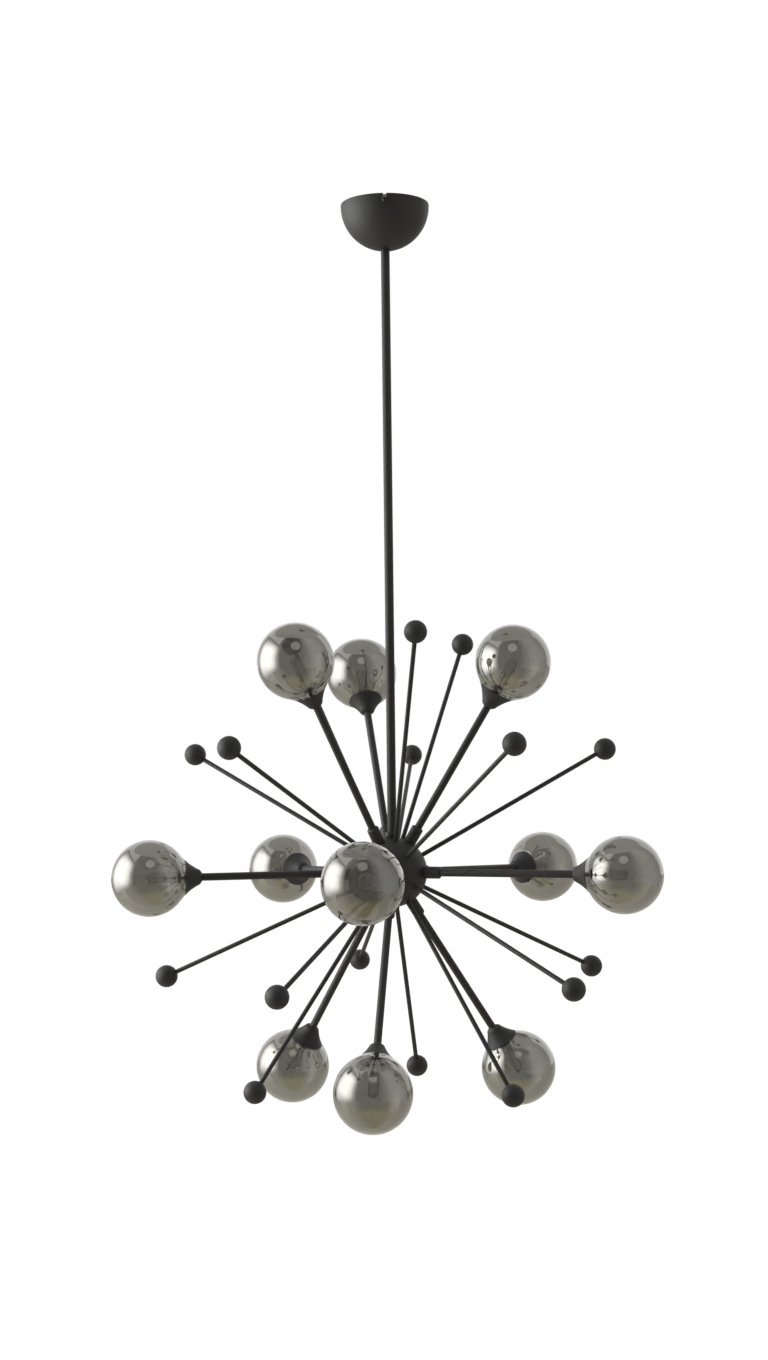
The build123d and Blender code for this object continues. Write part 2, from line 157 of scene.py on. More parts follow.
# Globes and neck rings
GLOBE_R = 50.0
GLASS = 2.0
FLARE_R = 70.0
NECK_R = 14.0
NECK_END = 272.9
SHOULDER = CUP_RIM + SEAT_GAP
RING_R = 14.4
RING_WALL = 1.0
RING_START = 273.4
RING_LENGTH = 4.0

# Lampholders and bulbs
SLEEVE_R = 11.6
SLEEVE_END = 279.5
GROOVE_DEPTH = 0.8
GROOVE_START = 6.0
GROOVE_END = 2.5
GROOVE_SLOPE = 0.5
RIB_DEPTH = 0.6
RIB_PITCH = 2.0
RIB_DROP = 5.6
RIB_TURNS = 1.5
HOLDER_R = 8.5
HOLDER_END = 287.5
BULB_BASE_R = 7.5
BULB_BASE_END = 297.5
WAIST_DEPTH = 0.7
WAIST_LEVELS = (3.0, 4.0, 5.5, 6.5)
CAPSULE_SEAT = 0.5
BULB_R = 6.8
BULB_TIP = 328.5
PIN_R = 0.6
PIN_SPACING = 9.0
PIN_LENGTH = 6.0
PIN_ROOT = 1.0

# Rods and small balls
ROD_R = 3.0
ROD_ROOT = 42.0
ROD_TIP = 332.0
BALL_R = 15.0

# Places
TO_METRES = Matrix.Scale(0.001, 4)
CEILING_PLACE = [TO_METRES]
HUB_PLACE = [TO_METRES @ Matrix.Translation((0, 0, -HUB_DROP))]


def spokes(polar, first, count):
    """Places that turn a piece drawn up the Z axis out along each spoke of a ring."""
    tilt = Matrix.Rotation(math.radians(polar), 4, "X")
    turns = [math.radians(first + 360 / count * k) for k in range(count)]
    return [HUB_PLACE[0] @ Matrix.Rotation(turn, 4, "Z") @ tilt for turn in turns]


light_places = {ring: spokes(*sizes) for ring, sizes in LIGHT_RINGS.items()}
accent_places = {ring: spokes(*sizes) for ring, sizes in ACCENT_RINGS.items()}
all_lights = sum(light_places.values(), [])


# Shaping
MERGE_DISTANCE = 1e-4
THREAD_STEPS = 32
RIDGE_SHARE = 0.4
CREASE = 32


def closed(shape):
    """Merge what meets and turn every face outward."""
    bmesh.ops.remove_doubles(shape, verts=shape.verts, dist=MERGE_DISTANCE)
    bmesh.ops.recalc_face_normals(shape, faces=shape.faces)
    return shape


class Lathe:
    """A half section drawn with a pen, radius by height, and then spun round Z."""

    def __init__(self, radius, height):
        self.shape = bmesh.new()
        self.pen = self.shape.verts.new((radius, 0, height))
        self.corners = []

    def line(self, radius, height):
        self.pen = bmesh.ops.extrude_vert_indiv(self.shape, verts=[self.pen])["verts"][0]
        self.pen.co = (radius, 0, height)
        return self

    def arc(self, radius, height, turn, steps):
        """Swing the pen round a centre, in degrees, from the outside towards the top."""
        turned = bmesh.ops.spin(
            self.shape, geom=[self.pen], cent=(radius, 0, height), axis=(0, -1, 0),
            angle=math.radians(turn), steps=steps,
        )
        self.pen = turned["geom_last"][0]
        return self

    def swing(self, radius, height, end, steps):
        """Swing the pen round a centre until its direction from there is this one, in degrees."""
        at = self.pen.co
        return self.arc(radius, height, end - math.degrees(math.atan2(at.z - height, at.x - radius)), steps)

    def soft(self, size):
        """Have the corner under the pen rounded."""
        self.corners.append((self.pen, size))
        return self

    def spun(self, steps):
        for corner, size in self.corners:
            bmesh.ops.bevel(
                self.shape, geom=[corner], offset=size, offset_type="OFFSET", segments=4,
                profile=0.5, affect="VERTICES", material=-1,
            )
        bmesh.ops.remove_doubles(self.shape, verts=self.shape.verts, dist=MERGE_DISTANCE)
        bmesh.ops.spin(
            self.shape, geom=self.shape.verts[:] + self.shape.edges[:], cent=(0, 0, 0), axis=(0, 0, 1),
            angle=2 * math.pi, steps=steps, use_merge=True,
        )
        return closed(self.shape)


def tube(outer, inner, start, end, edge, steps):
    """A straight tube with softened outer edges."""
    pen = Lathe(inner, start).line(outer, start).soft(edge).line(outer, end).soft(edge)
    return pen.line(inner, end).line(inner, start).spun(steps)


def bar(radius, start, end, edge, steps=24):
    """A solid round bar with softened edges."""
    pen = Lathe(0, start).line(radius, start).soft(edge).line(radius, end).soft(edge)
    return pen.line(0, end).spun(steps)


def ball_wall(outer, inner, hole, edge, side):
    """Half section of a hollow ball's cap, from its hole to its open edge: side is 1 on top, or else -1."""
    pen = Lathe(hole, side * math.sqrt(outer**2 - hole**2))
    pen.swing(0, 0, math.degrees(math.asin(edge / outer)), steps=48).soft(0.3)
    pen.line(math.sqrt(inner**2 - edge**2), edge)
    pen.swing(0, 0, side * math.degrees(math.acos(hole / inner)), steps=48)
    return pen.line(hole, side * math.sqrt(outer**2 - hole**2))


def thread(radius, depth, pitch, start, turns):
    """A ridge that winds up a cylinder, pointed at its crest."""
    ridge = bmesh.new()
    root, half = radius - depth / 4, pitch * RIDGE_SHARE
    foot = ridge.verts.new((root, 0, start - half))
    crest = bmesh.ops.extrude_vert_indiv(ridge, verts=[foot])["verts"][0]
    crest.co = (radius + depth, 0, start)
    top = bmesh.ops.extrude_vert_indiv(ridge, verts=[crest])["verts"][0]
    top.co = (root, 0, start + half)
    bmesh.ops.contextual_create(ridge, geom=[foot, top])
    bmesh.ops.spin(
        ridge, geom=ridge.verts[:] + ridge.edges[:], cent=(0, 0, 0), axis=(0, 0, 1),
        angle=2 * math.pi * turns, steps=int(THREAD_STEPS * turns), dvec=(0, 0, pitch / THREAD_STEPS),
    )
    bmesh.ops.holes_fill(ridge, edges=[edge for edge in ridge.edges if edge.is_boundary], sides=4)
    return closed(ridge)


def box(size, centre, edge):
    """A block with rounded edges."""
    shape = bmesh.new()
    bmesh.ops.create_cube(shape, size=1)
    bmesh.ops.scale(shape, vec=size, verts=shape.verts)
    bmesh.ops.bevel(
        shape, geom=shape.edges[:], offset=edge, offset_type="OFFSET", segments=3, profile=0.5,
        affect="EDGES", material=-1,
    )
    bmesh.ops.translate(shape, vec=centre, verts=shape.verts)
    return shape


def hexagon(flats, start, thickness, edge):
    """A hexagon nut blank with softened corners."""
    shape = bmesh.new()
    corner = flats / math.sqrt(3)
    bmesh.ops.create_cone(
        shape, cap_ends=True, segments=6, radius1=corner, radius2=corner, depth=thickness,
        matrix=Matrix.Translation((0, 0, start + thickness / 2)) @ Matrix.Rotation(math.pi / 6, 4, "Z"),
    )
    bmesh.ops.bevel(
        shape, geom=shape.edges[:], offset=edge, offset_type="OFFSET", segments=2, profile=0.5,
        affect="EDGES", material=-1,
    )
    return shape


def copies(shape, places):
    """A copy of a shape at each place, in one mesh; the shape is used up."""
    master = bpy.data.meshes.new("master")
    shape.to_mesh(master)
    shape.free()
    joined = bmesh.new()
    for place in places:
        before = len(joined.verts)
        joined.from_mesh(master)
        joined.verts.ensure_lookup_table()
        bmesh.ops.transform(joined, matrix=place, verts=joined.verts[before:])
    bpy.data.meshes.remove(master)
    return joined


def together(*shapes):
    """Several shapes in one mesh; the shapes are used up."""
    joined = shapes[0]
    for shape in shapes[1:]:
        part = bpy.data.meshes.new("part")
        shape.to_mesh(part)
        shape.free()
        joined.from_mesh(part)
        bpy.data.meshes.remove(part)
    return joined


def loose(shape, name):
    """Put a shape in the scene as an object."""
    mesh = bpy.data.meshes.new(name)
    shape.to_mesh(mesh)
    shape.free()
    made = bpy.data.objects.new(name, mesh)
    bpy.context.scene.collection.objects.link(made)
    return made


def carved(shape, cutter):
    """A shape with another cut out of it; both are used up."""
    blank = loose(shape, "blank")
    tool = loose(cutter, "tool")
    cut = blank.modifiers.new("cut", "BOOLEAN")
    cut.operation = "DIFFERENCE"
    cut.solver = "EXACT"
    cut.object = tool
    finished = bpy.data.meshes.new_from_object(
        blank.evaluated_get(bpy.context.evaluated_depsgraph_get())
    )
    result = bmesh.new()
    result.from_mesh(finished)
    for mesh in (finished, blank.data, tool.data):
        bpy.data.meshes.remove(mesh)
    return result


def piece(name, shape, body, finish, slot, *stands_for):
    """A finished piece that rides on a body and stands for its solids."""
    made = loose(shape, name)
    made.data.materials.append(finish)
    made.data.shade_smooth()
    made.data.set_sharp_from_angle(angle=math.radians(CREASE))
    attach(made, body)
    if stands_for:
        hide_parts(*stands_for)


# Finishes
GRAIN_STRENGTH = 0.6


class Value:
    """A shader socket that takes part in sums."""

    def __init__(self, tree, socket):
        self.tree = tree
        self.socket = socket

    def sum(self, operation, first, second):
        node = self.tree.nodes.new("ShaderNodeMath")
        node.operation = operation
        plug(self.tree, node.inputs[0], first)
        plug(self.tree, node.inputs[1], second)
        return Value(self.tree, node.outputs[0])

    def __add__(self, other):
        return self.sum("ADD", self, other)

    def __radd__(self, other):
        return self.sum("ADD", other, self)

    def __sub__(self, other):
        return self.sum("SUBTRACT", self, other)

    def __rsub__(self, other):
        return self.sum("SUBTRACT", other, self)

    def __mul__(self, other):
        return self.sum("MULTIPLY", self, other)

    def __rmul__(self, other):
        return self.sum("MULTIPLY", other, self)

    def __pow__(self, other):
        return self.sum("POWER", self, other)

    def __or__(self, other):
        return self.sum("MAXIMUM", self, other)

    def __gt__(self, other):
        return self.sum("GREATER_THAN", self, other)


def plug(tree, socket, value):
    """Link a value to a socket, or set the socket to a number or colour."""
    if isinstance(value, Value):
        tree.links.new(value.socket, socket)
    else:
        socket.default_value = value


class Finish:
    """A surface finish made of shader nodes."""

    def __init__(self, owner):
        owner.use_nodes = True
        self.tree = owner.node_tree
        self.tree.nodes.clear()

    def node(self, kind, settings=(), sockets=(), output=0):
        node = self.tree.nodes.new(kind)
        for name, value in dict(settings).items():
            setattr(node, name, value)
        for name, value in dict(sockets).items():
            plug(self.tree, node.inputs[name], value)
        return Value(self.tree, node.outputs[output]) if node.outputs else None

    def place(self):
        return self.node("ShaderNodeTexCoord", output="Object")

    def noise(self, scale, detail, distortion=0.0):
        return self.node(
            "ShaderNodeTexNoise", (),
            {"Vector": self.place(), "Scale": scale, "Detail": detail, "Distortion": distortion},
        )

    def blend(self, mask, first, second):
        return self.node(
            "ShaderNodeMix", {"data_type": "RGBA"}, {0: mask, 6: first, 7: second}, output=2,
        )

    def facing_up(self):
        normal = self.node("ShaderNodeNewGeometry", output="Normal")
        return self.node("ShaderNodeSeparateXYZ", (), {"Vector": normal}, output="Z") | 0.0

    def grain(self, height, depth):
        return self.node(
            "ShaderNodeBump", (), {"Strength": GRAIN_STRENGTH, "Distance": depth, "Height": height},
        )

    def surface(self, sockets):
        shader = self.node("ShaderNodeBsdfPrincipled", (), sockets)
        self.node("ShaderNodeOutputMaterial", (), {"Surface": shader})


def grey(level, warmth=0.0):
    return (level * (1 + warmth), level, level * (1 - warmth), 1.0)


def black_lacquer():
    """Satin black stove lacquer: faint mottling, a fine skin and a breath of dust on top."""
    made = bpy.data.materials.new("black_lacquer")
    finish = Finish(made)
    cloud = finish.noise(38.0, detail=4.0)
    skin = finish.noise(1500.0, detail=2.0)
    specks = finish.noise(420.0, detail=3.0)
    dust = finish.facing_up() ** 3.0 * specks * 0.5
    colour = finish.blend(cloud, grey(0.024), grey(0.036, warmth=0.02))
    finish.surface({
        "Base Color": finish.blend(dust, colour, grey(0.10, warmth=0.05)),
        "Roughness": 0.47 + 0.10 * cloud + 0.2 * dust,
        "Specular IOR Level": 0.4,
        "Normal": finish.grain(skin, depth=0.00003),
    })
    return made


def smoked_glass():
    """Smoke-tinted glass with a thin mirror film, a little uneven from blowing."""
    made = bpy.data.materials.new("smoked_glass")
    finish = Finish(made)
    film = finish.noise(11.0, detail=2.0, distortion=0.6)
    smear = finish.noise(55.0, detail=4.0, distortion=1.2)
    finish.surface({
        "Base Color": finish.blend(film, (0.455, 0.447, 0.405, 1.0), (0.545, 0.54, 0.505, 1.0)),
        "Metallic": 0.24 + 0.12 * film,
        "Roughness": 0.012 + 0.035 * smear ** 2.0,
        "IOR": 1.5,
        "Transmission Weight": 1.0,
    })
    return made


def zinc_plate():
    """Bright zinc on pressed steel: spangled patches and drawn scratches."""
    made = bpy.data.materials.new("zinc_plate")
    finish = Finish(made)
    spangle = finish.node(
        "ShaderNodeTexVoronoi", (), {"Vector": finish.place(), "Scale": 260.0}, output="Distance",
    )
    cloud = finish.noise(120.0, detail=4.0)
    stretched = finish.node(
        "ShaderNodeMapping", (), {"Vector": finish.place(), "Scale": (2600.0, 60.0, 2600.0)},
    )
    scratches = finish.node("ShaderNodeTexNoise", (), {"Vector": stretched, "Scale": 1.0, "Detail": 3.0})
    finish.surface({
        "Base Color": finish.blend(cloud * spangle, grey(0.62), (0.50, 0.50, 0.46, 1.0)),
        "Metallic": 1.0,
        "Roughness": 0.26 + 0.16 * cloud + 0.1 * scratches,
        "Normal": finish.grain(scratches, depth=0.00004),
    })
    return made


def glazed_ceramic():
    """Cream steatite with a thin glaze and fine specks."""
    made = bpy.data.materials.new("glazed_ceramic")
    finish = Finish(made)
    cloud = finish.noise(90.0, detail=3.0)
    specks = finish.noise(1900.0, detail=1.0) > 0.69
    body = finish.blend(cloud, (0.78, 0.75, 0.68, 1.0), (0.84, 0.82, 0.77, 1.0))
    finish.surface({
        "Base Color": finish.blend(specks, body, grey(0.45, warmth=0.08)),
        "Roughness": 0.28 + 0.18 * cloud,
        "Normal": finish.grain(cloud, depth=0.00012),
    })
    return made


def frosted_glass():
    """Etched capsule glass, milky and a little denser in patches."""
    made = bpy.data.materials.new("frosted_glass")
    finish = Finish(made)
    milk = finish.noise(160.0, detail=3.0)
    finish.surface({
        "Base Color": finish.blend(milk, (0.76, 0.75, 0.70, 1.0), (0.86, 0.86, 0.84, 1.0)),
        "Roughness": 0.26 + 0.14 * milk,
        "IOR": 1.47,
        "Transmission Weight": 0.85,
    })
    return made


def white_nylon():
    """Moulded nylon, slightly translucent white with a flow texture."""
    made = bpy.data.materials.new("white_nylon")
    finish = Finish(made)
    flow = finish.noise(210.0, detail=3.0, distortion=0.8)
    finish.surface({
        "Base Color": finish.blend(flow, (0.74, 0.74, 0.71, 1.0), (0.82, 0.82, 0.80, 1.0)),
        "Roughness": 0.38 + 0.14 * flow,
        "Normal": finish.grain(flow, depth=0.00008),
    })
    return made


def clear_silicone():
    """Soft milky silicone with a dull skin."""
    made = bpy.data.materials.new("clear_silicone")
    finish = Finish(made)
    milk = finish.noise(300.0, detail=3.0)
    finish.surface({
        "Base Color": finish.blend(milk, grey(0.62), grey(0.74)),
        "Roughness": 0.42 + 0.16 * milk,
        "IOR": 1.41,
        "Transmission Weight": 0.5,
    })
    return made


def wire_sheath():
    """Black heat-proof sheath, ribbed very finely by its glass braid."""
    made = bpy.data.materials.new("wire_sheath")
    finish = Finish(made)
    braid = finish.node(
        "ShaderNodeTexVoronoi", (), {"Vector": finish.place(), "Scale": 1700.0}, output="Distance",
    )
    finish.surface({
        "Base Color": finish.blend(braid, grey(0.035), grey(0.012)),
        "Roughness": 0.5 + 0.2 * braid,
        "Normal": finish.grain(braid, depth=0.0001),
    })
    return made


lacquer = black_lacquer()
glass = smoked_glass()
zinc = zinc_plate()
ceramic = glazed_ceramic()
frosted = frosted_glass()
nylon = white_nylon()
silicone = clear_silicone()
sheath = wire_sheath()

# Solids whose shape is right as it is
for node, finish in {
    "mounting_bracket": zinc,
    "arm_nuts": zinc,
    "supply_lead": sheath,
    "arm_wires": sheath,
    "junction_ring": nylon,
}.items():
    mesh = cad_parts[node].data
    mesh.materials.clear()
    mesh.materials.append(finish)

# Canopy: a spun bowl with a rolled rim, a turned-in stem hole and two notches for the side screws
hole = STEM_R + SLIDING
lip = CANOPY_WALL / 2
inner_bowl = CANOPY_R - CANOPY_WALL
bowl = Lathe(hole, BOWL_Z - math.sqrt(CANOPY_R**2 - hole**2)).soft(0.4)
bowl.swing(0, BOWL_Z, 0, steps=56).line(CANOPY_R, -SEAT_GAP - lip)
bowl.arc(CANOPY_R - lip, -SEAT_GAP - lip, 180, steps=8).line(inner_bowl, BOWL_Z)
bowl.swing(0, BOWL_Z, -math.degrees(math.acos(hole / inner_bowl)), steps=56)
bowl.line(hole, BOWL_Z - math.sqrt(CANOPY_R**2 - hole**2))
notch = bmesh.new()
bmesh.ops.create_circle(notch, cap_ends=True, segments=32, radius=NOTCH_R)
upper_half = [v for v in notch.verts if v.co.y > NOTCH_R / 20]
bmesh.ops.translate(notch, vec=(0, 2 * SCREW_DROP, 0), verts=upper_half)
bmesh.ops.transform(
    notch, verts=notch.verts,
    matrix=Matrix.Translation((0, -NOTCH_REACH, -SCREW_DROP)) @ Matrix.Rotation(math.pi / 2, 4, "X"),
)
pushed = bmesh.ops.extrude_face_region(notch, geom=notch.faces[:])["geom"]
bmesh.ops.translate(
    notch, vec=(0, 2 * NOTCH_REACH, 0), verts=[v for v in pushed if isinstance(v, bmesh.types.BMVert)],
)
canopy_shape = carved(bowl.spun(steps=128), closed(notch))
piece("canopy_bowl", copies(canopy_shape, CEILING_PLACE), "canopy", lacquer, "black_metal", "canopy")

# Side screws: low round heads with a cross recess
head = Lathe(0, SCREW_END).line(SCREW_R, SCREW_END).soft(0.4).line(SCREW_R, SCREW_SEAT)
head.line(SCREW_HEAD_R, SCREW_SEAT).soft(0.2).line(SCREW_HEAD_R, SCREW_SEAT + SCREW_HEAD_BAND)
head_top = SCREW_SEAT + SCREW_HEAD_LENGTH
head.line(SCREW_HEAD_R - SCREW_HEAD_SLOPE, head_top).soft(0.8).line(0, head_top)
crossed = head.spun(steps=40)
for across in ((RECESS_LENGTH, RECESS_WIDTH), (RECESS_WIDTH, RECESS_LENGTH)):
    crossed = carved(crossed, box((*across, 2 * RECESS_DEPTH), (0, 0, head_top), edge=0.2))
screw_places = [
    TO_METRES @ Matrix.Translation((0, 0, -SCREW_DROP)) @ Matrix.Rotation(math.radians(side), 4, "X")
    for side in (90, -90)
]
piece("side_screws", copies(crossed, screw_places), "fixture", lacquer, "black_metal", "canopy_screws")

# Nipple with its thread, and the nuts on it
nipple_core = NIPPLE_R - THREAD_DEPTH
nipple = together(
    tube(nipple_core, NIPPLE_BORE_R, NIPPLE_BOTTOM, NIPPLE_TOP, edge=0.5, steps=40),
    thread(
        nipple_core, THREAD_DEPTH, NIPPLE_PITCH, NIPPLE_BOTTOM + NIPPLE_PITCH,
        (NIPPLE_TOP - NIPPLE_BOTTOM) / NIPPLE_PITCH - 2,
    ),
)
piece("threaded_nipple", copies(nipple, CEILING_PLACE), "fixture", zinc, "zinc_steel", "stem_nipple")
nuts = together(*[hexagon(NUT_FLATS, z, NUT_THICKNESS, edge=0.5) for z in NUT_PLACES])
piece("hexagon_nuts", copies(nuts, CEILING_PLACE), "fixture", zinc, "zinc_steel", "nipple_nuts")

# Stem, with the collar that the hub hangs against and its grub screw at the back
stem = tube(STEM_R, NIPPLE_R + FIT, STEM_BOTTOM, STEM_TOP, edge=0.3, steps=64)
piece("long_stem", copies(stem, CEILING_PLACE), "fixture", lacquer, "black_metal", "stem")
collar_top = HUB_R + STEM_COLLAR_LENGTH
collar = tube(STEM_COLLAR_R, STEM_R + FIT, HUB_R, collar_top, edge=0.9, steps=64)
grub_level = HUB_R + STEM_COLLAR_LENGTH / 2
to_back = Matrix.Translation((0, 0, grub_level)) @ Matrix.Rotation(-math.pi / 2, 4, "X")
pocket = bar(POCKET_R, STEM_R + POCKET_START, STEM_COLLAR_R + POCKET_PAST, edge=0.1)
collar = carved(collar, copies(pocket, [to_back]))
grub = bar(GRUB_R, STEM_R + GRUB_START, STEM_COLLAR_R - GRUB_SINK, edge=0.2)
socket = hexagon(GRUB_KEY, STEM_COLLAR_R - GRUB_KEY_DEPTH, GRUB_KEY_LENGTH, edge=0.02)
grub = copies(carved(grub, socket), [to_back])
stop = together(collar, grub)
piece("stem_stop", copies(stop, HUB_PLACE), "fixture", lacquer, "black_metal", "stem_collar")

# Terminal block: three ways joined by a web, each with two screws underneath
way = BLOCK_LENGTH / BLOCK_WAYS
block_y = BLOCK_FRONT + BLOCK_WIDTH / 2
block_z = BLOCK_TOP - BLOCK_HEIGHT / 2
block_foot = block_z - BLOCK_HEIGHT / 2
tower_top = block_z - TOWER_TOP
web = [full - inset for full, inset in zip((BLOCK_LENGTH, BLOCK_WIDTH, BLOCK_HEIGHT), WEB_INSETS)]
housing = [box(web, (0, block_y, block_z), edge=0.8)]
screws = []
for k in range(BLOCK_WAYS):
    x = (k - (BLOCK_WAYS - 1) / 2) * way
    shell_size = (way - WAY_GAP, BLOCK_WIDTH, BLOCK_HEIGHT - SHELL_FOOT)
    shell = box(shell_size, (x, block_y, block_z + SHELL_FOOT / 2), edge=0.9)
    wire_bore = copies(
        bar(WIRE_BORE_R, -BLOCK_WIDTH, BLOCK_WIDTH, edge=0.1),
        [Matrix.Translation((x, block_y, block_z)) @ Matrix.Rotation(math.pi / 2, 4, "X")],
    )
    housing.append(carved(shell, wire_bore))
    for y in (block_y - TOWER_ROW, block_y + TOWER_ROW):
        tower = tube(TOWER_R, TOWER_BORE_R, block_foot, tower_top, edge=0.5, steps=32)
        housing.append(copies(tower, [Matrix.Translation((x, y, 0))]))
        screw = bar(CLAMP_R, block_foot + CLAMP_SINK, tower_top, edge=0.3)
        slot_cut = box(CLAMP_SLOT, (0, 0, block_foot + CLAMP_SINK), edge=0.05)
        screws.append(copies(carved(screw, slot_cut), [Matrix.Translation((x, y, 0))]))
piece(
    "connector_housing", copies(together(*housing), CEILING_PLACE), "fixture", nylon, "white_plastic",
    "terminal_block",
)
piece("connector_screws", copies(together(*screws), CEILING_PLACE), "fixture", zinc, "zinc_steel")

# Hub: two shells that meet in a fine seam
upper = ball_wall(HUB_R, HUB_R - HUB_WALL, STEM_R + FIT, SEAM_GAP - SEAM_DROP, 1)
upper_shell = copies(upper.spun(steps=112), HUB_PLACE)
piece("hub_upper_shell", upper_shell, "fixture", lacquer, "black_metal", "hub_body")
lower = ball_wall(HUB_R, HUB_R - HUB_WALL, NIPPLE_R + FIT, -SEAM_GAP - SEAM_DROP, -1)
lower_shell = copies(lower.spun(steps=112), HUB_PLACE)
piece("hub_lower_shell", lower_shell, "fixture", lacquer, "black_metal", "hub_cover")

# The finial is drawn as part of a ball and then flattened to its height
dome_r = FINIAL_R - FINIAL_STEP
dome = Lathe(0, -dome_r).arc(0, 0, FINIAL_DOME, steps=14).line(FINIAL_R - FINIAL_LEDGE, -FINIAL_BAND)
dome.line(FINIAL_R, -FINIAL_BAND).soft(0.3).line(FINIAL_R, 0).line(NIPPLE_R, 0)
dome.line(NIPPLE_R, FINIAL_SHANK).line(0, FINIAL_SHANK)
dome_shape = dome.spun(steps=64)
bmesh.ops.scale(dome_shape, vec=(1, 1, FINIAL_HEIGHT / dome_r), verts=dome_shape.verts)
finial_place = [HUB_PLACE[0] @ Matrix.Translation((0, 0, -HUB_R))]
piece("domed_finial", copies(dome_shape, finial_place), "fixture", lacquer, "black_metal", "hub_finial")

# The flare that glass, cup and bush share: its centre, and directions seen from there
edge_depth = LIGHT_REACH - BUSH_EDGE
edge_distance = math.hypot(BUSH_EDGE_R, edge_depth)
flare_distance = GLOBE_R + FLARE_R
opening = (edge_distance**2 + flare_distance**2 - FLARE_R**2) / (2 * edge_distance * flare_distance)
flare_angle = math.atan2(BUSH_EDGE_R, edge_depth) + math.acos(opening)
flare_x = flare_distance * math.sin(flare_angle)
flare_z = LIGHT_REACH - flare_distance * math.cos(flare_angle)
tangent = -(90 - math.degrees(flare_angle))


def flare_way(height, radius):
    """Direction from the flare's centre to the point of its curve at this height, in degrees."""
    return 180 - math.degrees(math.asin((height - flare_z) / radius))


def flare_radius(height, radius):
    """Distance from the axis of the point of such a curve at this height."""
    return flare_x + radius * math.cos(math.radians(flare_way(height, radius)))


# Arms, and the collars at their roots
arm = tube(ARM_R, ARM_BORE_R, ARM_ROOT, ARM_END, edge=0.2, steps=40)
foot_r = HUB_R + FIT
root = Lathe(ARM_R + FIT, math.sqrt(foot_r**2 - (ARM_R + FIT) ** 2))
root.swing(0, 0, math.degrees(math.acos(COLLAR_R / foot_r)), steps=4).soft(0.25)
root.line(COLLAR_R, COLLAR_END - COLLAR_CHAMFER).soft(0.5)
root.line(COLLAR_R - COLLAR_CHAMFER, COLLAR_END).soft(0.3).line(ARM_R + FIT, COLLAR_END)
root.line(ARM_R + FIT, math.sqrt(foot_r**2 - (ARM_R + FIT) ** 2))
root_shape = root.spun(steps=56)

# Turned bushes on the arms' ends, and the spun trumpet cups on them
inner_wall = FLARE_R + CUP_WALL
spigot_r = flare_radius(CUP_ROOT, inner_wall) - FIT
bush = Lathe(ARM_R + FIT, ARM_END).line(ARM_R + FIT, BUSH_BACK).soft(0.3)
bush.line(BUSH_EDGE_R, BUSH_EDGE).soft(BUSH_FILLET)
bush.swing(flare_x, flare_z, flare_way(CUP_ROOT, FLARE_R), steps=8).soft(0.12)
bush.line(spigot_r, CUP_ROOT).line(spigot_r, BUSH_FRONT).soft(0.3).line(WIRE_HOLE_R, BUSH_FRONT)
bush.line(WIRE_HOLE_R, ARM_END).line(ARM_R + FIT, ARM_END)
bush_shape = bush.spun(steps=72)
trumpet = Lathe(flare_radius(CUP_ROOT, FLARE_R), CUP_ROOT).soft(0.12)
trumpet.swing(flare_x, flare_z, flare_way(CUP_RIM, FLARE_R), steps=24).soft(0.45)
trumpet.line(flare_radius(CUP_RIM, inner_wall), CUP_RIM).soft(0.45)
trumpet.swing(flare_x, flare_z, flare_way(CUP_ROOT, inner_wall), steps=24)
trumpet.line(flare_radius(CUP_ROOT, FLARE_R), CUP_ROOT)
trumpet_shape = trumpet.spun(steps=96)

# Lampholders: a ribbed sleeve for the glass, a step, and the narrower body for the pins
groove_r = SLEEVE_R - GROOVE_DEPTH
groove_low, groove_high = SLEEVE_END - GROOVE_START, SLEEVE_END - GROOVE_END
holder = Lathe(0, BUSH_FRONT).line(SLEEVE_R, BUSH_FRONT).line(SLEEVE_R, groove_low - GROOVE_SLOPE).soft(0.2)
holder.line(groove_r, groove_low).line(groove_r, groove_high)
holder.line(SLEEVE_R, groove_high + GROOVE_SLOPE).soft(0.2).line(SLEEVE_R, SLEEVE_END).soft(0.8)
holder.line(HOLDER_R, SLEEVE_END).line(HOLDER_R, HOLDER_END).soft(0.9).line(0, HOLDER_END)
holder_shape = together(
    holder.spun(steps=64), thread(groove_r, RIB_DEPTH, RIB_PITCH, SLEEVE_END - RIB_DROP, RIB_TURNS),
)

# Bulbs: moulded base with a waist, frosted capsule and two pins
base = Lathe(0, HOLDER_END + FIT).line(BULB_BASE_R, HOLDER_END + FIT).soft(0.5)
waist_r = BULB_BASE_R - WAIST_DEPTH
for radius, level in zip((BULB_BASE_R, waist_r, waist_r, BULB_BASE_R), WAIST_LEVELS):
    base.line(radius, HOLDER_END + level)
base.line(BULB_BASE_R, BULB_BASE_END).soft(0.7).line(0, BULB_BASE_END)
pins = [
    copies(
        bar(PIN_R, HOLDER_END - PIN_LENGTH, HOLDER_END + PIN_ROOT, edge=0.25, steps=16),
        [Matrix.Translation((x, 0, 0))],
    )
    for x in (-PIN_SPACING / 2, PIN_SPACING / 2)
]
base_shape = together(base.spun(steps=48), *pins)
capsule_root = BULB_BASE_END - CAPSULE_SEAT
capsule = Lathe(0, capsule_root).line(BULB_R, capsule_root)
capsule.line(BULB_R, BULB_TIP - BULB_R).swing(0, BULB_TIP - BULB_R, 90, steps=14)
capsule_shape = capsule.spun(steps=48)

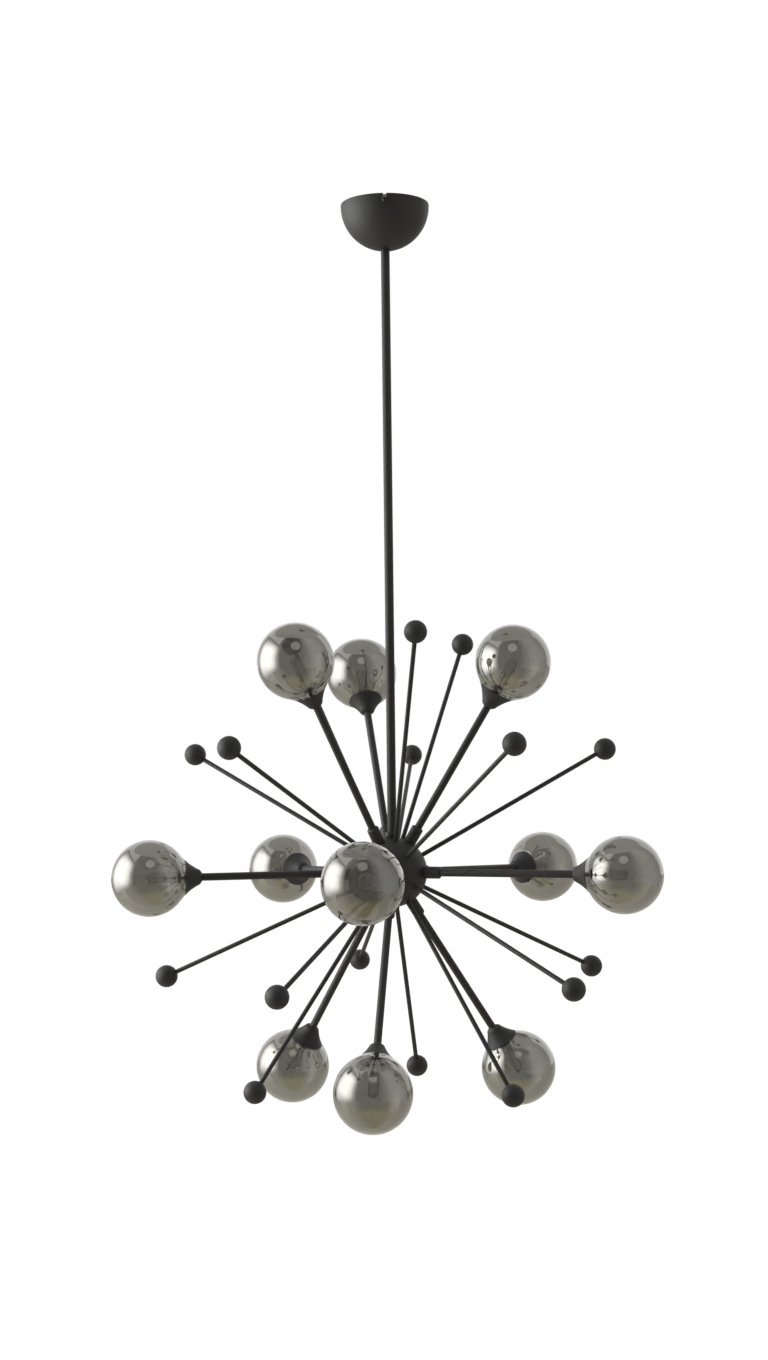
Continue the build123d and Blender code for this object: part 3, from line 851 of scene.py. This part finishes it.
# Globes: one even wall of blown glass from the crown to the fire-polished neck
bore = NECK_R - GLASS
inner_flare = FLARE_R + GLASS
blown = Lathe(0, LIGHT_REACH + GLOBE_R).swing(0, LIGHT_REACH, tangent, steps=56)
blown.arc(flare_x, flare_z, flare_way(SHOULDER, FLARE_R) - (180 + tangent), steps=12).soft(0.35)
blown.line(NECK_R, SHOULDER).soft(0.4).line(NECK_R, NECK_END).soft(0.6).line(bore, NECK_END).soft(0.6)
blown.line(bore, SHOULDER + GLASS).soft(1.2)
blown.line(flare_radius(SHOULDER + GLASS, inner_flare), SHOULDER + GLASS).soft(0.5)
blown.swing(flare_x, flare_z, 180 + tangent, steps=12).arc(0, LIGHT_REACH, 90 - tangent, steps=56)
globe_shape = blown.spun(steps=128)

# Silicone rings round the necks
ring_end = RING_START + RING_LENGTH
gasket = tube(RING_R + RING_WALL, RING_R, RING_START, ring_end, edge=0.35, steps=64)

# Rods and small balls
rod = bar(ROD_R, ROD_ROOT, ROD_TIP, edge=0.2, steps=32)
rod_hole = ROD_R + FIT
ball_foot = ACCENT_REACH - math.sqrt(BALL_R**2 - rod_hole**2)
ball = Lathe(0, ROD_TIP).line(rod_hole, ROD_TIP).line(rod_hole, ball_foot).soft(0.3)
ball.swing(0, ACCENT_REACH, 90, steps=36)
ball_shape = ball.spun(steps=64)

for ring, places in light_places.items():
    piece(f"arm_tubes_{ring}", copies(arm.copy(), places), "fixture", lacquer, "black_metal", f"arms_{ring}")
    piece(
        f"arm_collars_{ring}", copies(root_shape.copy(), places), "fixture", lacquer, "black_metal",
        f"hub_collars_{ring}",
    )
    piece(
        f"trumpet_cups_{ring}", copies(trumpet_shape.copy(), places), "fixture", lacquer, "black_metal",
        f"cups_{ring}",
    )
    piece(
        f"bulb_capsules_{ring}", copies(capsule_shape.copy(), places), "fixture", frosted, "bulb_glass",
        f"bulbs_{ring}",
    )
    piece(f"bulb_bases_{ring}", copies(base_shape.copy(), places), "fixture", ceramic, "lampholder_body")
    for number, place in enumerate(places, 1):
        spoke = f"{ring}_{number}"
        piece(
            f"blown_globe_{spoke}", copies(globe_shape.copy(), [place]), f"globe_{spoke}", glass,
            "smoked_glass", f"globe_{spoke}",
        )
        piece(
            f"neck_gasket_{spoke}", copies(gasket.copy(), [place]), f"neck_ring_{spoke}", silicone,
            "silicone", f"neck_ring_{spoke}",
        )
piece("turned_bushes", copies(bush_shape, all_lights), "fixture", lacquer, "black_metal", "cup_bushes")
piece("bulb_holders", copies(holder_shape, all_lights), "fixture", ceramic, "lampholder_body", "lampholders")
for ring, places in accent_places.items():
    piece(
        f"thin_rods_{ring}", copies(rod.copy(), places), "fixture", lacquer, "black_metal",
        f"accent_rods_{ring}",
    )
    piece(
        f"small_balls_{ring}", copies(ball_shape.copy(), places), "fixture", lacquer, "black_metal",
        f"accent_balls_{ring}",
    )

# Studio: a pale floor, a tall soft light at the left and a soft light in front and above. Glossy surfaces see
# the left light as a screen that fades at its edges, and dimmer screens from the front round to the right,
# low in front and overhead
HUB_LEVEL = -HUB_DROP / 1000
FLOOR_LEVEL = -1.95
FLOOR_R = 40.0
FLOOR_COLOUR = (0.80, 0.76, 0.66, 1.0)
FLOOR_SHINE = 1.14
FLOOR_SHARE = 0.86


def seen_by(finish, *kinds):
    """One on rays of these kinds, and nothing on others."""
    seen = 0.0
    for kind in kinds:
        seen = finish.node("ShaderNodeLightPath", output=f"Is {kind} Ray") | seen
    return seen


floor_shape = bmesh.new()
bmesh.ops.create_circle(
    floor_shape, cap_ends=True, segments=96, radius=FLOOR_R, matrix=Matrix.Translation((0, 0, FLOOR_LEVEL)),
)
floor = loose(floor_shape, "pale_floor")
floor_paint = bpy.data.materials.new("floor_paint")
paint = Finish(floor_paint)
shaded = paint.node("ShaderNodeBsdfDiffuse", (), {"Color": FLOOR_COLOUR})
bright = paint.node("ShaderNodeEmission", (), {"Color": grey(1.0), "Strength": FLOOR_SHINE})
glowing = seen_by(paint, "Camera", "Transmission") * FLOOR_SHARE
mixed = paint.node("ShaderNodeMixShader", (), {0: glowing, 1: shaded, 2: bright})
paint.node("ShaderNodeOutputMaterial", (), {"Surface": mixed})
floor.data.materials.append(floor_paint)


def only_in_gloss(shape, name):
    """Put a screen in the scene that shows only in glossy surfaces."""
    made = loose(shape, name)
    made.data.materials.append(bpy.data.materials.new(name))
    made.visible_camera = False
    made.visible_diffuse = False
    made.visible_transmission = False
    made.visible_shadow = False
    return made.data.materials[0]


def swept(start, end, first, last):
    """The sheet that a line in front of the light sweeps from one bearing to another, in degrees."""
    shape = bmesh.new()
    foot = shape.verts.new(start)
    bmesh.ops.extrude_vert_indiv(shape, verts=[foot])["verts"][0].co = end
    bmesh.ops.rotate(
        shape, verts=shape.verts, cent=(0, 0, 0), matrix=Matrix.Rotation(math.radians(first), 3, "Z"),
    )
    bmesh.ops.spin(
        shape, geom=shape.verts[:] + shape.edges[:], cent=(0, 0, 0), axis=(0, 0, 1),
        angle=math.radians(last - first), steps=24,
    )
    return shape


def ramp(finish, value, start, end):
    """Rise smoothly from nothing where a value is at its start to one where it is at its end."""
    return finish.node(
        "ShaderNodeMapRange", {"interpolation_type": "SMOOTHSTEP"},
        {"Value": value, "From Min": start, "From Max": end},
    )


def sides(finish, names):
    """A point's X, Y or Z on a screen, as named."""
    place = finish.place()
    return [finish.node("ShaderNodeSeparateXYZ", (), {"Vector": place}, output=name) for name in names]


def bearing_of(x, y):
    """A point's bearing from straight in front of the light, to the right, in radians."""
    return x.sum("ARCTAN2", x, 0.0 - y)


def size_of(value):
    """A value without its sign."""
    return value | (0.0 - value)


def glow(finish, colour, level):
    """Let a screen shine by a colour, which may vary over it."""
    shone = finish.node("ShaderNodeEmission", (), {"Color": colour, "Strength": level})
    finish.node("ShaderNodeOutputMaterial", (), {"Surface": shone})


# A tall round screen: dark in front, lighter to the right, dimmer again behind, and lighter at its left end
SCREEN_R = 3.4
SCREEN_TOP = HUB_LEVEL + 9.0
SCREEN_SWEEP = (-58, 118)
FRONT_DARK = 0.025
RIGHT_LIGHT, RIGHT_RISE = 0.54, (0.26, 1.08)
BACK_DIMMING, BACK_FALL = 0.26, (1.31, 2.0)
LEFT_LIGHT, LEFT_RISE = 0.25, (-0.73, -1.01)
front = Finish(only_in_gloss(
    swept((0, -SCREEN_R, FLOOR_LEVEL), (0, -SCREEN_R, SCREEN_TOP), *SCREEN_SWEEP), "round_screen",
))
bearing = bearing_of(*sides(front, "XY"))
lit = FRONT_DARK + RIGHT_LIGHT * ramp(front, bearing, *RIGHT_RISE)
lit = lit - BACK_DIMMING * ramp(front, bearing, *BACK_FALL) + LEFT_LIGHT * ramp(front, bearing, *LEFT_RISE)
glow(front, front.blend(lit, grey(0.0), grey(1.0)), 1.0)

# A low screen just over the floor: olive below the light, dark farther in front and pale at its sides
LOW_LEVEL = FLOOR_LEVEL + 0.01
LOW_SWEEP = (-80, 80)
LOW_START = 0.02
OLIVE_TO_DARK = (0.8, 1.6)
CLOTH_TO_PALE = (0.45, 1.25)
OLIVE, DARK, PALE = (0.36, 0.31, 0.12, 1.0), (0.045, 0.04, 0.025, 1.0), (0.54, 0.51, 0.44, 1.0)
low = Finish(only_in_gloss(
    swept((0, -LOW_START, LOW_LEVEL), (0, -SCREEN_R, LOW_LEVEL), *LOW_SWEEP), "low_front_screen",
))
x, y = sides(low, "XY")
far = ramp(low, (x * x + y * y) ** 0.5, *OLIVE_TO_DARK)
aside = ramp(low, size_of(bearing_of(x, y)), *CLOTH_TO_PALE)
glow(low, low.blend(aside, low.blend(far, OLIVE, DARK), PALE), 1.0)

# A dim round screen overhead
OVERHEAD = (0, 0.8, HUB_LEVEL + 2.6)
OVERHEAD_R = 1.9
OVERHEAD_LEVEL = 0.42
overhead = bmesh.new()
bmesh.ops.create_circle(
    overhead, cap_ends=True, segments=48, radius=OVERHEAD_R, matrix=Matrix.Translation(OVERHEAD),
)
glow(Finish(only_in_gloss(overhead, "overhead_screen")), grey(1.0), OVERHEAD_LEVEL)

# The left screen's brightness falls off towards its edges
WINDOW = (-2.5, 0.15, HUB_LEVEL + 0.65)
WINDOW_HALF_WIDTH, WINDOW_HALF_HEIGHT = 2.55, 2.0
WINDOW_SIDE_FADE, WINDOW_END_FADE = 2.1, 1.5
WINDOW_LEVEL = 4.6
WINDOW_LEAST = 0.06
left = bmesh.new()
bmesh.ops.create_grid(left, x_segments=1, y_segments=1, size=1.0)
bmesh.ops.transform(
    left, verts=left.verts,
    matrix=Matrix.Translation(WINDOW) @ Matrix.Rotation(math.pi / 2, 4, "Y")
    @ Matrix.Diagonal((WINDOW_HALF_HEIGHT, WINDOW_HALF_WIDTH, 1.0, 1.0)),
)
window = Finish(only_in_gloss(left, "left_screen"))
y, z = sides(window, "YZ")
aside, above = size_of(y - WINDOW[1]), size_of(z - WINDOW[2])
across = ramp(window, aside, WINDOW_HALF_WIDTH, WINDOW_HALF_WIDTH - WINDOW_SIDE_FADE)
along = ramp(window, above, WINDOW_HALF_HEIGHT, WINDOW_HALF_HEIGHT - WINDOW_END_FADE)
glow(window, window.blend(across * along, grey(WINDOW_LEAST), grey(1.0)), WINDOW_LEVEL)


def soft_light(name, shape, place, target, width, height, level):
    """A flat soft light of an even brightness that faces a point."""
    lamp = bpy.data.lights.new(name, "AREA")
    lamp.shape = shape
    lamp.size = width
    lamp.size_y = height
    lamp.energy = level * math.pi * width * height
    made = bpy.data.objects.new(name, lamp)
    bpy.context.scene.collection.objects.link(made)
    aim = Matrix.Translation(place)
    toward = (Matrix.Translation(target).translation - aim.translation).to_track_quat("-Z", "Y")
    made.matrix_world = aim @ toward.to_matrix().to_4x4()
    return made


HUB_POINT = (0, 0, HUB_LEVEL)
TALL_PLACE = (-2.5, -0.45, HUB_LEVEL + 0.6)
TALL_WIDTH, TALL_HEIGHT, TALL_LEVEL = 1.7, 2.6, 3.4
UPPER_PLACE = (0.0, -2.0, HUB_LEVEL + 2.0)
UPPER_SIZE, UPPER_LEVEL = 1.2, 0.4
tall = soft_light(
    "tall_left_light", "RECTANGLE", TALL_PLACE, HUB_POINT, TALL_WIDTH, TALL_HEIGHT, TALL_LEVEL,
)
tall.visible_glossy = False
soft_light("upper_front_light", "ELLIPSE", UPPER_PLACE, HUB_POINT, UPPER_SIZE, UPPER_SIZE, UPPER_LEVEL)

# The air round it all: even light, and white to the camera and in gloss and glass
AMBIENT_LEVEL = 0.45
world = bpy.data.worlds.new("white_studio")
bpy.context.scene.world = world
air = Finish(world)
ambient = air.node("ShaderNodeBackground", (), {"Color": grey(1.0), "Strength": AMBIENT_LEVEL})
white = air.node("ShaderNodeBackground", (), {"Color": grey(1.0), "Strength": 1.0})
seen = seen_by(air, "Camera", "Glossy", "Transmission")
mixed = air.node("ShaderNodeMixShader", (), {0: seen, 1: ambient, 2: white})
air.node("ShaderNodeOutputWorld", (), {"Surface": mixed})

# Camera at the photograph's place, a little above the hub's height and tipped up
VIEWPOINT = (0.0, -2.824, -0.809)
VIEW_TURN, VIEW_TIP, VIEW_ROLL = 0.17, 3.27, -0.66
SENSOR = 36.0
FOCAL_PIXELS, FRAME_PIXELS = 2105, 1360
lens = bpy.data.cameras.new("viewpoint")
lens.sensor_width = SENSOR
lens.lens = SENSOR * FOCAL_PIXELS / FRAME_PIXELS
camera = bpy.data.objects.new("viewpoint", lens)
bpy.context.scene.collection.objects.link(camera)
camera.matrix_world = (
    Matrix.Translation(VIEWPOINT)
    @ Matrix.Rotation(math.radians(VIEW_TURN), 4, "Z")
    @ Matrix.Rotation(math.radians(90 + VIEW_TIP), 4, "X")
    @ Matrix.Rotation(math.radians(VIEW_ROLL), 4, "Z")
)
bpy.context.scene.camera = camera
bpy.context.scene.view_settings.view_transform = "Standard"
